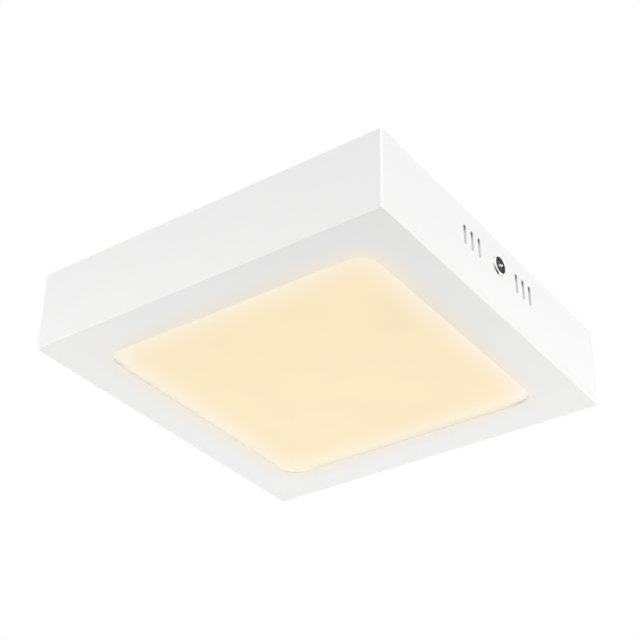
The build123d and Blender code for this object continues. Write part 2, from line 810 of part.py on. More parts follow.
# Mounting bracket: a bent strip with ceiling slots, a cable hole, pressed beads and tapped ears
ear_face = inner - ear_clearance
with BuildPart() as mounting_bracket:
    ear_z = row_z - ear_end
    with BuildSketch(Plane.XZ) as bracket_profile:
        with Locations((0, ear_z / 2)):
            Rectangle(2 * ear_face, -ear_z)
        fillet(bracket_profile.vertices().group_by(Axis.Y)[-1], bracket_bend + bracket_thickness)
    extrude(amount=bracket_width / 2, both=True)
    with BuildSketch(Plane.XZ) as bracket_hollow:
        with Locations((0, (ear_z - bracket_thickness) / 2)):
            Rectangle(2 * (ear_face - bracket_thickness), -ear_z - bracket_thickness)
        fillet(bracket_hollow.vertices().group_by(Axis.Y)[-1], bracket_bend)
    extrude(amount=bracket_width / 2, both=True, mode=Mode.SUBTRACT)
    fillet(mounting_bracket.edges().filter_by(Axis.X).group_by(Axis.Z)[0], ear_radius)
    with BuildSketch(Plane.XY):
        Circle(cable_hole / 2)
        with GridLocations(slot_spacing, 0, 2, 1):
            SlotOverall(slot_length, slot_width)
    extrude(amount=-bracket_thickness, mode=Mode.SUBTRACT)
    bead_x = (slot_spacing / 2 + slot_length / 2 + ear_face) / 2
    with BuildSketch(Plane.XY.offset(-bracket_thickness)):
        with GridLocations(2 * bead_x, 0, 2, 1):
            SlotOverall(bead_length, bead_width)
    extrude(amount=-bead_depth)
    with BuildSketch(Plane.XY):
        with GridLocations(2 * bead_x, 0, 2, 1):
            SlotOverall(bead_length - 2 * bead_draft, bead_width - 2 * bead_draft)
    extrude(amount=-bead_depth, mode=Mode.SUBTRACT)
    tapped_side = side_screw_diameter / 2 + thread_clearance
    for side in (1, -1):
        collar_plane = Plane(
            (side * (ear_face - bracket_thickness), 0, row_z), x_dir=(0, 1, 0), z_dir=(-side, 0, 0)
        )
        with BuildSketch(collar_plane):
            Circle(tapped_side + collar_wall)
        extrude(amount=collar_length)
        with BuildSketch(collar_plane.offset(collar_length)):
            Circle(tapped_side)
        extrude(amount=-collar_length - bracket_thickness, mode=Mode.SUBTRACT)
save(mounting_bracket, "mounting_bracket")

# Side screws with their washers, through the housing's walls into the ears
for side, side_name in ((1, "right"), (-1, "left")):
    seat = Plane((side * half, 0, row_z), x_dir=(0, 1, 0), z_dir=(side, 0, 0))
    head_seat = seat.offset(washer_thickness)
    outward = Axis(seat.origin, seat.z_dir)
    with BuildPart() as side_washer:
        with BuildSketch(seat):
            Circle(washer_diameter / 2)
            Circle(side_screw_diameter / 2 + washer_clearance, mode=Mode.SUBTRACT)
        extrude(amount=washer_thickness)
    save(side_washer, f"side_washer_{side_name}")
    with BuildPart() as side_screw:
        with BuildSketch(head_seat):
            Circle(side_head_diameter / 2)
        extrude(amount=side_head_height)
        chamfer(side_screw.faces().sort_by(outward)[-1].edges(), side_head_chamfer)
        with BuildSketch(head_seat):
            Circle(side_screw_diameter / 2)
        extrude(amount=-side_screw_length)
        chamfer(side_screw.faces().sort_by(outward)[0].edges(), side_tip_chamfer)
        with BuildSketch(head_seat.offset(side_head_height)):
            Rectangle(recess_span, recess_width)
            Rectangle(recess_width, recess_span)
        extrude(amount=-recess_depth, taper=recess_taper, mode=Mode.SUBTRACT)
    save(side_screw, f"side_screw_{side_name}")
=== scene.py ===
import math

import bmesh
import bpy
from mathutils import Matrix, Vector


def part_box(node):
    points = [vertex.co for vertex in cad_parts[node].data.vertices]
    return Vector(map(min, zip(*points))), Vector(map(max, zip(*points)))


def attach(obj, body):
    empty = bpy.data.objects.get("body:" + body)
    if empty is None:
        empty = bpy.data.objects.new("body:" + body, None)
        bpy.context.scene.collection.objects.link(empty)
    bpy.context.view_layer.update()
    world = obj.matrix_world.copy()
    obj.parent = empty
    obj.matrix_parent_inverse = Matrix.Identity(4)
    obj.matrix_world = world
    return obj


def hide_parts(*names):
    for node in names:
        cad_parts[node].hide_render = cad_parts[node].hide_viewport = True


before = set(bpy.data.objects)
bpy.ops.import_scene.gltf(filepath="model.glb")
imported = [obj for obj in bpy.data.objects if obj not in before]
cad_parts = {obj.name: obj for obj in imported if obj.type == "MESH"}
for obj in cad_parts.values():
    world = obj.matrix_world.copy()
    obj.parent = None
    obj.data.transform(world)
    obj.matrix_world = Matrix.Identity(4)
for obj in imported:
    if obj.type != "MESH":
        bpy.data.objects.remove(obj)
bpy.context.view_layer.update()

# Housing: a die-cast aluminium frame, open towards the ceiling, with vents and screw holes cast into two
# walls, under a baked white satin powder. Painted into its colour are a highlight along the upright edges,
# shade that darkens it towards the ceiling, and grey shade in the vents' ends and rims. The lit panel's
# light is painted too: a warm glow on the rim, and a glow over a darker grey in the opening's reveal.
mm = 0.001
opening_half = 65 * mm
opening_radius = 8 * mm
housing_edge = 0.3 * mm
halo_reach = 11 * mm
glow_corner_start = 105 * mm
glow_corner_end = 133 * mm
glow_corner_share = 0.36
glow_near_start = 80 * mm
glow_near_end = 125 * mm
glow_near_share = 3.2
patch_size = 30 * mm
peel_size = 1.1 * mm
peel_depth = 0.003 * mm
coat_roughness = (0.28, 0.34)
coat_white = (0.915, 0.915, 0.91, 1)
coat_shade = (0.90, 0.901, 0.899, 1)
painted_upper_shade = (0.872, 0.873, 0.87, 1)
painted_edge_highlight = (0.985, 0.985, 0.98, 1)
painted_glow_tint = (0.925, 0.864, 0.76, 1)
halo_light = (1.0, 0.75, 0.35, 1)
halo_strength = 0.022
reveal_painted_shade = (0.35, 0.35, 0.345, 1)
reveal_light = (1.0, 0.95, 0.805, 1)
reveal_strength = 0.53
reveal_far_strength = 0.66
reveal_side_share = 0.65
reveal_start = 0.05 * mm
reveal_full = 0.7 * mm
reveal_depth = 1 * mm
corner_start = 116 * mm
corner_end = 123 * mm
coat_sheen = 0.5
edge_sheen = 1.0
edge_full = 0.8 * mm
edge_end = 1.1 * mm
painted_vent_shade = (0.28, 0.28, 0.28, 1)
vent_shade_start = 0.1 * mm
vent_shade_full = 0.4 * mm
vent_reach = 32 * mm
vent_half = 4.6 * mm
vent_z = -13 * mm
vent_upper = 1 * mm
wall = 1.8 * mm
rim_share = 0.3
rim_start = 0.01 * mm
rim_full = 0.06 * mm
rim_end = 0.4 * mm


def merged_copy(node_name, piece_name):
    """A new object with the shape of a CAD node, its loose triangles joined into whole flat faces."""
    shell = bmesh.new()
    shell.from_mesh(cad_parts[node_name].data)
    bmesh.ops.remove_doubles(shell, verts=shell.verts, dist=0.001 * mm)
    bmesh.ops.dissolve_limit(shell, angle_limit=math.radians(0.5), verts=shell.verts, edges=shell.edges)
    mesh = bpy.data.meshes.new(piece_name)
    shell.to_mesh(mesh)
    shell.free()
    for layer in ("custom_normal", "sharp_face", "sharp_edge"):
        if layer in mesh.attributes:
            mesh.attributes.remove(mesh.attributes[layer])
    return linked_object(piece_name, mesh)


def linked_object(name, data):
    """A new object in the scene, at the origin."""
    made = bpy.data.objects.new(name, data)
    bpy.context.scene.collection.objects.link(made)
    return made


def settle(piece):
    """Turns a piece with modifiers into a plain mesh of the same look."""
    ready = piece.evaluated_get(bpy.context.evaluated_depsgraph_get())
    mesh = bpy.data.meshes.new_from_object(ready)
    piece.modifiers.clear()
    piece.data = mesh
    mesh.name = piece.name


def round_edges(piece, radius, material):
    """Rounds a piece's sharp edges, keeps its broad faces flat in shading and gives it a material."""
    bevel = piece.modifiers.new("rounded edges", "BEVEL")
    bevel.width = radius
    bevel.segments = 3
    bevel.limit_method = "ANGLE"
    bevel.angle_limit = math.radians(35)
    bevel.use_clamp_overlap = False
    bevel.loop_slide = False
    piece.data.shade_smooth()
    flats = piece.modifiers.new("flat faces", "WEIGHTED_NORMAL")
    flats.weight = 100
    settle(piece)
    piece.data.materials.clear()
    piece.data.materials.append(material)


def feed(tree, made, feeds):
    """Gives inputs of a node what they need: another node's output or a value."""
    for socket, value in dict(feeds).items():
        if isinstance(value, bpy.types.NodeSocket):
            tree.links.new(value, made.inputs[socket])
        else:
            made.inputs[socket].default_value = value


def node(tree, kind, feeds=(), **settings):
    """A new node with its settings and with its inputs fed."""
    made = tree.nodes.new(kind)
    for key, value in settings.items():
        setattr(made, key, value)
    feed(tree, made, feeds)
    return made


def maths(tree, operation, *values):
    """The result of a Math node."""
    return node(tree, "ShaderNodeMath", enumerate(values), operation=operation).outputs[0]


def blend(tree, share, first, second):
    """A colour between two, by a share from 0 to 1."""
    return node(tree, "ShaderNodeMix", {0: share, 6: first, 7: second}, data_type="RGBA").outputs[2]


def ramp(tree, value, low, high, start=0.0, end=1.0):
    """A value that goes smoothly from start at low to end at high."""
    feeds = {0: value, 1: low, 2: high, 3: start, 4: end}
    return node(tree, "ShaderNodeMapRange", feeds, interpolation_type="SMOOTHSTEP").outputs[0]


def grain(tree, place, size, detail=2.0):
    """A soft noise whose spots are about as wide as size."""
    return node(tree, "ShaderNodeTexNoise", {"Vector": place, "Scale": 1 / size, "Detail": detail}).outputs[0]


def vary(tree, noise, start=0.0, end=1.0):
    """A value that follows a noise from start to end, over the middle of the noise's range."""
    return ramp(tree, noise, 0.3, 0.7, start, end)


def length(tree, first, second):
    """The length of a flat vector, from its two parts."""
    flat = node(tree, "ShaderNodeCombineXYZ", {0: first, 1: second}).outputs[0]
    return node(tree, "ShaderNodeVectorMath", {0: flat}, operation="LENGTH").outputs["Value"]


def new_material(name):
    """A material with its node tree, its shader and its Object coordinates."""
    made = bpy.data.materials.new(name)
    made.use_nodes = True
    tree = made.node_tree
    place = node(tree, "ShaderNodeTexCoord").outputs["Object"]
    return made, tree, tree.nodes["Principled BSDF"], place


def add_relief(tree, shader, height, depth):
    """Bump of that depth in metres on a shader."""
    bump = node(tree, "ShaderNodeBump", {"Height": height, "Distance": depth})
    feed(tree, shader, {"Normal": bump.outputs[0]})


def outside_opening(tree, place):
    """How far a point lies outside the edge of the front opening, in metres, or inside it if negative."""
    split = node(tree, "ShaderNodeSeparateXYZ", {0: place})
    reach = [
        maths(tree, "SUBTRACT", maths(tree, "ABSOLUTE", axis), opening_half - opening_radius)
        for axis in split.outputs[:2]
    ]
    round_part = length(tree, *[maths(tree, "MAXIMUM", axis, 0.0) for axis in reach])
    flat_part = maths(tree, "MINIMUM", maths(tree, "MAXIMUM", *reach), 0.0)
    return maths(tree, "SUBTRACT", maths(tree, "ADD", round_part, flat_part), opening_radius)


powder_coat, tree, shader, place = new_material("white powder coat")
low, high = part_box("housing")
front_z = low.z
along, across, height = node(tree, "ShaderNodeSeparateXYZ", {0: place}).outputs
from_opening = outside_opening(tree, place)
nearness = ramp(tree, from_opening, 0.0, halo_reach, 1.0, 0.0)
diagonal = maths(tree, "ABSOLUTE", maths(tree, "ADD", along, across))
glow_share = ramp(tree, diagonal, glow_corner_start, glow_corner_end, 1.0, glow_corner_share)
nearness = maths(tree, "MULTIPLY", nearness, glow_share)
within = ramp(tree, height, front_z + reveal_start, front_z + reveal_full)
halo = maths(tree, "MULTIPLY", nearness, maths(tree, "SUBTRACT", 1.0, within))
coat = blend(tree, grain(tree, place, patch_size), coat_shade, coat_white)
# Painted shade: the coat is painted darker towards the ceiling.
coat = blend(tree, ramp(tree, height, front_z, high.z), coat, painted_upper_shade)
# Painted light: a warm tint near the opening stands for the lit panel's glow on the rim.
coat = blend(tree, halo, coat, painted_glow_tint)
under_face = maths(tree, "SUBTRACT", high.x, maths(tree, "ABSOLUTE", along))
under_side = maths(tree, "SUBTRACT", high.y, maths(tree, "ABSOLUTE", across))
from_edge = maths(tree, "MAXIMUM", under_face, under_side)
upright_edge = ramp(tree, from_edge, edge_full, edge_end, 1.0, 0.0)
# Painted highlight: the coat is painted whiter along the upright edges.
coat = blend(tree, upright_edge, coat, painted_edge_highlight)
in_wall = maths(
    tree,
    "MULTIPLY",
    ramp(tree, under_face, vent_shade_start, vent_shade_full),
    maths(tree, "LESS_THAN", under_face, wall - vent_shade_start),
)
from_row = maths(tree, "ABSOLUTE", maths(tree, "SUBTRACT", height, vent_z))
in_row = maths(
    tree,
    "MULTIPLY",
    maths(tree, "LESS_THAN", maths(tree, "ABSOLUTE", across), vent_reach),
    maths(tree, "LESS_THAN", from_row, vent_half + rim_end),
)
upper_end = ramp(tree, height, vent_z + vent_upper, vent_z + vent_half)
rim = maths(
    tree,
    "MULTIPLY",
    ramp(tree, under_face, rim_start, rim_full, 0.0, rim_share),
    maths(tree, "LESS_THAN", under_face, rim_end),
)
# Painted shade: grey painted into the vents' upper ends and onto their rims.
vent_shade_mask = maths(tree, "MAXIMUM", maths(tree, "MULTIPLY", in_wall, upper_end), rim)
vent_shade = maths(tree, "MULTIPLY", in_row, vent_shade_mask)
in_reveal = maths(tree, "MULTIPLY", within, maths(tree, "LESS_THAN", from_opening, reveal_depth))
# Painted shade: the reveal's coat is a darker grey, under the painted glow that follows.
coat = blend(tree, in_reveal, coat, reveal_painted_shade)
# Painted light: emission on the rim and the reveal stands for the lit panel's light; the housing is no lamp.
near_side = maths(tree, "SUBTRACT", along, across)
near_strength = glow_near_share * halo_strength
near_glow = ramp(tree, near_side, glow_near_start, glow_near_end, halo_strength, near_strength)
rim_glow = maths(tree, "MULTIPLY", nearness, near_glow)
far_glow = ramp(tree, near_side, -corner_end, -corner_start, reveal_far_strength, reveal_strength)
side_share = ramp(tree, diagonal, corner_start, corner_end, 1.0, reveal_side_share)
reveal_glow = maths(tree, "MULTIPLY", far_glow, side_share)
peel = grain(tree, place, peel_size)
feed(tree, shader, {
    "Base Color": blend(tree, vent_shade, coat, painted_vent_shade),
    "Roughness": vary(tree, peel, *coat_roughness),
    "Specular IOR Level": ramp(tree, upright_edge, 0.0, 1.0, coat_sheen, edge_sheen),
    "Emission Color": blend(tree, within, halo_light, reveal_light),
    "Emission Strength": ramp(tree, in_reveal, 0.0, 1.0, rim_glow, reveal_glow),
})
add_relief(tree, shader, peel, peel_depth)
housing = merged_copy("housing", "housing_casting")
round_edges(housing, housing_edge, powder_coat)
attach(housing, "fixture")
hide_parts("housing")

# Diffuser: an opal polycarbonate sheet that lies on the back of the housing's rim. It is extruded with a
# satin face and glows warm white from behind, lighter along the edges next to the LEDs and palest in the
# two corners at the photograph's left and right.
band_start = 50 * mm
band_end = 72 * mm
mottle_size = 26 * mm
mottle_span = (0.2, 0.8)
mottle_glow = (0.99, 1.01)
glow_middle = (0.719, 0.593, 0.361, 1)
glow_edge = (0.741, 0.681, 0.570, 1)
glow_corner = (0.712, 0.672, 0.578, 1)
corner_glow_start = 111 * mm
corner_glow_end = 123 * mm
sheet_sheen = 0.2
sheet_roughness = 0.5
sheet_tone = (0.24, 0.23, 0.205, 1)
sheet_shade = (0.22, 0.21, 0.19, 1)
satin_size = 0.4 * mm
satin_depth = 0.002 * mm

opal_sheet, tree, shader, place = new_material("lit opal sheet")
far_from_edges = 1.0
along, across = node(tree, "ShaderNodeSeparateXYZ", {0: place}).outputs[:2]
for axis in (along, across):
    inside = ramp(tree, maths(tree, "ABSOLUTE", axis), band_start, band_end, 1.0, 0.0)
    far_from_edges = maths(tree, "MULTIPLY", inside, far_from_edges)
glow = blend(tree, far_from_edges, glow_edge, glow_middle)
diagonal = maths(tree, "ABSOLUTE", maths(tree, "ADD", along, across))
in_corner = ramp(tree, diagonal, corner_glow_start, corner_glow_end)
mottle = grain(tree, place, mottle_size)
feed(tree, shader, {
    "Base Color": blend(tree, mottle, sheet_shade, sheet_tone),
    "Roughness": sheet_roughness,
    "Specular IOR Level": sheet_sheen,
    "Emission Color": blend(tree, in_corner, glow, glow_corner),
    "Emission Strength": ramp(tree, mottle, *mottle_span, *mottle_glow),
})
add_relief(tree, shader, grain(tree, place, satin_size), satin_depth)


def dress(material, *node_names):
    """Gives CAD nodes, whose shape stays, a material."""
    for node_name in node_names:
        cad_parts[node_name].material_slots[0].material = material


dress(opal_sheet, "diffuser")

# Light guide, reflector and foam: the edge-lit stack behind the diffuser. The guide is a clear acrylic plate
# with a printed field of white dots, the reflector a white polyester film, and the foam a closed-cell sheet.
# They lie loose on each other, and the back plate presses them together.
dot_pitch = 2.4 * mm
dot_radius = 0.28
dot_blur = 0.06
dot_white = (0.92, 0.92, 0.9, 1)
dot_roughness = 0.5
acrylic_tint = (0.95, 0.97, 0.97, 1)
acrylic_roughness = 0.04
acrylic_clearness = 0.9
acrylic_index = 1.49


def finish(name, tone, shade, roughness, size, depth, metallic=0.0, stretch=(1, 1, 1)):
    """A material of two close tones, with a grain that also varies its roughness and gives its relief."""
    made, tree, shader, place = new_material(name)
    stretched = node(tree, "ShaderNodeMapping", {"Vector": place, "Scale": stretch}).outputs[0]
    spots = grain(tree, stretched, size, detail=3.0)
    feed(tree, shader, {
        "Base Color": blend(tree, vary(tree, spots), (*shade, 1), (*tone, 1)),
        "Roughness": vary(tree, spots, *roughness),
        "Metallic": metallic,
    })
    add_relief(tree, shader, spots, depth)
    return made


clear_acrylic, tree, shader, place = new_material("clear acrylic with dots")
dots = node(tree, "ShaderNodeTexVoronoi", {"Vector": place, "Scale": 1 / dot_pitch, "Randomness": 0.0})
printed = ramp(tree, dots.outputs["Distance"], dot_radius, dot_radius + dot_blur, 1.0, 0.0)
feed(tree, shader, {
    "Base Color": blend(tree, printed, acrylic_tint, dot_white),
    "Roughness": ramp(tree, printed, 0.0, 1.0, acrylic_roughness, dot_roughness),
    "Transmission Weight": ramp(tree, printed, 0.0, 1.0, acrylic_clearness, 0.0),
    "IOR": acrylic_index,
})
dress(clear_acrylic, "light_guide")
dress(
    finish("white reflector film", (0.93, 0.93, 0.93), (0.9, 0.9, 0.9), (0.4, 0.5), 0.5 * mm, 0.002 * mm),
    "reflector_sheet",
)
dress(
    finish("white foam", (0.91, 0.91, 0.9), (0.8, 0.8, 0.79), (0.85, 0.95), 0.35 * mm, 0.06 * mm),
    "foam_sheet",
)

# LED strips: thin aluminium boards with a white solder mask, bonded to the inside of the tray wall on all
# four sides. Each carries a row of yellow-topped LED packages that shine into the guide's edge, and tinned
# straps soldered across three corners carry the current from strip to strip.
sides = ("right", "back", "left", "front")
strip_mask = finish(
    "white solder mask", (0.9, 0.9, 0.87), (0.84, 0.84, 0.8), (0.3, 0.4), 1.5 * mm, 0.004 * mm
)
led_package = finish(
    "led package", (0.93, 0.74, 0.16), (0.86, 0.64, 0.1), (0.28, 0.36), 0.6 * mm, 0.01 * mm
)
tinned_copper = finish(
    "tinned copper", (0.82, 0.82, 0.8), (0.68, 0.68, 0.66), (0.24, 0.36), 0.5 * mm, 0.004 * mm, metallic=1.0
)
dress(strip_mask, *[f"led_strip_{side}" for side in sides])
dress(led_package, *[f"led_chips_{side}" for side in sides])
dress(tinned_copper, "strip_links")

# Back plate: a sheet of mill-finish aluminium that closes the tray, with punched holes and three tapped
# burrs. The rolling lines run along the sheet.
plate_edge = 0.12 * mm
mill_aluminium = finish(
    "mill aluminium",
    (0.80, 0.81, 0.82),
    (0.66, 0.67, 0.69),
    (0.26, 0.42),
    3 * mm,
    0.004 * mm,
    metallic=1.0,
    stretch=(0.06, 4, 4),
)
back_plate = merged_copy("back_plate", "back_plate_sheet")
round_edges(back_plate, plate_edge, mill_aluminium)
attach(back_plate, "fixture")
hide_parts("back_plate")

# Back plate screws: eight zinc-plated M3 pan heads with a cross recess and a rolled thread, driven through
# the plate into the housing's bosses. Each stops at its own angle.
plate_head = 5.6 * mm
plate_head_height = 2.0 * mm
plate_shank = 3.0 * mm
plate_pitch = 0.5 * mm
pan_boxiness = 2.8
plate_screw_seed = 7


def screw_mesh(name, head, head_height, shank, shank_length, pitch, boxiness):
    """A screw on the Z axis with its seat on the XY plane: pan head, rolled thread and cross recess.

    Boxiness is the power of the head's outline: 2 is a dome, and more comes nearer to a flat disc."""
    around = 40
    head_steps = 14
    thread_steps = 10
    core = 0.8 * shank / 2
    tip = 0.7 * core
    flank = 1.4
    root = 0.2
    power = 2 / boxiness
    outline = []
    for step in range(head_steps, 0, -1):
        turn = math.pi / 2 * step / (head_steps + 1)
        outline.append((head / 2 * math.cos(turn) ** power, head_height * math.sin(turn) ** power))
    outline += [(head / 2, 0), (shank / 2, 0)]
    rings = [[(radius, z, turn) for turn in range(around)] for radius, z in outline]
    rows = int(shank_length / pitch * thread_steps)
    for row in range(1, rows):
        z = -shank_length * row / rows
        fade = min(1, (shank_length + z) / pitch)
        ring = []
        for turn in range(around):
            phase = (z / pitch - turn / around) % 1
            crest = min(1, max(0, flank * (1 - abs(2 * phase - 1)) - root))
            ring.append((core + (shank / 2 - core) * crest * fade, z, turn))
        rings.append(ring)
    rings.append([(tip, -shank_length, turn) for turn in range(around)])
    screw = bmesh.new()
    made = []
    for ring in rings:
        corners = []
        for radius, z, turn in ring:
            angle = 2 * math.pi * turn / around
            corners.append(screw.verts.new((radius * math.cos(angle), radius * math.sin(angle), z)))
        made.append(corners)
    for upper, lower in zip(made, made[1:]):
        for turn in range(around):
            after = (turn + 1) % around
            screw.faces.new((upper[turn], lower[turn], lower[after], upper[after]))
    screw.faces.new(made[0])
    screw.faces.new(reversed(made[-1]))
    mesh = bpy.data.meshes.new(name)
    screw.to_mesh(mesh)
    screw.free()
    return recessed(mesh, head, head_height)


def recessed(mesh, head, head_height):
    """A screw's mesh with a tapered cross recess cut into the top of its head."""
    span = 0.6 * head
    wing = 0.13 * head
    depth = 0.75 * head_height
    rise = 0.25 * head_height
    taper = 0.55
    corners = [(wing, wing), (wing, span), (-wing, span)]
    cutter = bmesh.new()
    levels = []
    for z, share in ((head_height + rise, 1 + (1 - taper) * rise / depth), (head_height - depth, taper)):
        ring = []
        for quarter in range(4):
            turn = Matrix.Rotation(quarter * math.pi / 2, 3, "Z")
            for x, y in corners:
                corner = turn @ Vector((x / 2, y / 2, 0))
                ring.append(cutter.verts.new((corner.x * share, corner.y * share, z)))
        levels.append(ring)
    count = len(levels[0])
    for i in range(count):
        after = (i + 1) % count
        cutter.faces.new((levels[0][i], levels[0][after], levels[1][after], levels[1][i]))
    cutter.faces.new(levels[0])
    cutter.faces.new(levels[1])
    bmesh.ops.recalc_face_normals(cutter, faces=cutter.faces)
    cutter_mesh = bpy.data.meshes.new("recess")
    cutter.to_mesh(cutter_mesh)
    cutter.free()
    blank = linked_object(mesh.name, mesh)
    bit = linked_object("recess", cutter_mesh)
    cut = blank.modifiers.new("cross recess", "BOOLEAN")
    cut.operation = "DIFFERENCE"
    cut.object = bit
    settle(blank)
    result = blank.data
    result.shade_smooth()
    result.set_sharp_from_angle(angle=math.radians(32))
    bpy.data.objects.remove(bit)
    bpy.data.objects.remove(blank)
    return result


def new_tree(name, inputs):
    """A Geometry Nodes tree with a geometry input and output and further named inputs of the given kinds."""
    tree = bpy.data.node_groups.new(name, "GeometryNodeTree")
    tree.interface.new_socket("Geometry", in_out="INPUT", socket_type="NodeSocketGeometry")
    for label, kind in inputs.items():
        tree.interface.new_socket(label, in_out="INPUT", socket_type=kind)
    tree.interface.new_socket("Geometry", in_out="OUTPUT", socket_type="NodeSocketGeometry")
    return tree, tree.nodes.new("NodeGroupInput").outputs


def run_tree(piece, tree, **values):
    """Runs a tree on an object with its inputs set, and leaves the result as a plain mesh."""
    modifier = piece.modifiers.new(tree.name, "NODES")
    modifier.node_group = tree
    for item in tree.interface.items_tree:
        if item.in_out == "INPUT" and item.name in values:
            modifier[item.identifier] = values[item.name]
    if piece.type == "MESH":
        settle(piece)
        return piece
    ready = piece.evaluated_get(bpy.context.evaluated_depsgraph_get())
    made = linked_object(piece.name + "_made", bpy.data.meshes.new_from_object(ready))
    name = piece.name
    bpy.data.objects.remove(piece)
    made.name = name
    return made


def end_tree(tree, geometry, material):
    """Ends a tree with plain geometry in a material."""
    joined = node(tree, "GeometryNodeRealizeInstances", {0: geometry})
    covered = node(tree, "GeometryNodeSetMaterial", {"Geometry": joined.outputs[0], "Material": material})
    node(tree, "NodeGroupOutput", {0: covered.outputs[0]})


screw_places, given = new_tree(
    "screws in place", {"Screw": "NodeSocketObject", "Seed": "NodeSocketInt", "Finish": "NodeSocketMaterial"}
)
turn = node(
    screw_places, "FunctionNodeRandomValue", {2: 0.0, 3: math.tau, 8: given["Seed"]}, data_type="FLOAT"
)
turned = node(screw_places, "ShaderNodeCombineXYZ", {2: turn.outputs[1]})
screw_info = node(screw_places, "GeometryNodeObjectInfo", {"Object": given["Screw"]})
placed = node(
    screw_places,
    "GeometryNodeInstanceOnPoints",
    {"Points": given["Geometry"], "Instance": screw_info.outputs["Geometry"], "Rotation": turned.outputs[0]},
)
end_tree(screw_places, placed.outputs[0], given["Finish"])


def drive_screws(name, places, mesh, seed, material):
    """One piece made of screws that stand at places, each turned by chance."""
    points = bpy.data.meshes.new(name)
    points.from_pydata(places, [], [])
    pattern = bpy.data.objects.new("screw pattern", mesh)
    piece = run_tree(linked_object(name, points), screw_places, Screw=pattern, Seed=seed, Finish=material)
    bpy.data.objects.remove(pattern)
    return piece


zinc_screw = finish(
    "zinc screw", (0.82, 0.83, 0.85), (0.62, 0.64, 0.67), (0.22, 0.36), 0.8 * mm, 0.003 * mm, metallic=1.0
)
screws_low, screws_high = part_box("back_plate_screws")
reach = screws_high.x - plate_head / 2
seat_z = screws_high.z - plate_head_height
places = [(x * reach, y * reach, seat_z) for x in (-1, 0, 1) for y in (-1, 0, 1) if x or y]
plate_screw = screw_mesh(
    "plate screw",
    plate_head,
    plate_head_height,
    plate_shank,
    seat_z - screws_low.z,
    plate_pitch,
    pan_boxiness,
)
plate_screws = drive_screws("back_plate_screws_driven", places, plate_screw, plate_screw_seed, zinc_screw)
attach(plate_screws, "fixture")
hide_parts("back_plate_screws")

# Driver: a snap-together case of white moulded plastic on a grey adhesive pad. Tub and cover are injection
# moulded with a fine grain, and the cover's lip snaps into windows in the tub's long walls.
case_edge = 0.15 * mm
cover_edge = 0.4 * mm
white_plastic = finish(
    "white moulded plastic", (0.86, 0.86, 0.84), (0.81, 0.81, 0.79), (0.42, 0.55), 0.35 * mm, 0.012 * mm
)
driver_case = merged_copy("driver_case", "driver_case_moulding")
round_edges(driver_case, case_edge, white_plastic)
driver_cover = merged_copy("driver_cover", "driver_cover_moulding")
round_edges(driver_cover, cover_edge, white_plastic)
for moulding, node_name in ((driver_case, "driver_case"), (driver_cover, "driver_cover")):
    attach(moulding, "fixture")
    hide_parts(node_name)
dress(
    finish("grey foam tape", (0.5, 0.51, 0.52), (0.38, 0.39, 0.4), (0.8, 0.95), 0.4 * mm, 0.04 * mm),
    "driver_tape",
)

# Driver board: a green glass-epoxy board on the tub's posts, with its parts soldered in a row. The chips sit
# on its underside. All of it is closed in by the case.
copper_pitch = 3.2 * mm
copper_gap = 0.08
copper_depth = 0.02 * mm
mask_size = 2 * mm
mask_roughness = (0.25, 0.4)
mask_dark = (0.02, 0.13, 0.045, 1)
mask_light = (0.03, 0.17, 0.06, 1)
mask_bare = (0.015, 0.08, 0.03, 1)
board_green, tree, shader, place = new_material("green solder mask")
tracks = node(tree, "ShaderNodeTexBrick", {
    "Vector": place,
    "Scale": 1 / copper_pitch,
    "Mortar Size": copper_gap,
    "Color1": mask_dark,
    "Color2": mask_light,
    "Mortar": mask_bare,
})
feed(tree, shader, {
    "Base Color": tracks.outputs["Color"],
    "Roughness": vary(tree, grain(tree, place, mask_size), *mask_roughness),
})
add_relief(tree, shader, tracks.outputs["Fac"], copper_depth)
dress(board_green, "driver_board")
ferrite = finish("ferrite", (0.05, 0.05, 0.055), (0.025, 0.025, 0.03), (0.5, 0.7), 0.3 * mm, 0.02 * mm)
black_sleeve = finish(
    "black sleeve", (0.03, 0.03, 0.04), (0.015, 0.015, 0.02), (0.25, 0.35), 2 * mm, 0.01 * mm
)
black_epoxy = finish(
    "black epoxy", (0.03, 0.03, 0.032), (0.018, 0.018, 0.02), (0.45, 0.6), 0.25 * mm, 0.01 * mm
)
coil_tape = finish(
    "yellow coil tape",
    (0.8, 0.58, 0.07),
    (0.68, 0.47, 0.05),
    (0.3, 0.42),
    1.2 * mm,
    0.03 * mm,
    stretch=(0.2, 0.2, 3),
)
film_case = finish(
    "potted yellow case", (0.72, 0.5, 0.05), (0.62, 0.42, 0.04), (0.3, 0.4), 1.5 * mm, 0.01 * mm
)
fuse_coat = finish("green lacquer", (0.12, 0.3, 0.2), (0.08, 0.22, 0.15), (0.4, 0.55), 0.7 * mm, 0.02 * mm)
dress(ferrite, "filter_choke", "transformer_core")
dress(black_sleeve, "input_capacitor", "output_capacitor")
dress(black_epoxy, "rectifier", "controller_chip")
dress(coil_tape, "transformer_coil")
dress(film_case, "film_capacitor")
dress(fuse_coat, "fuse_resistor")

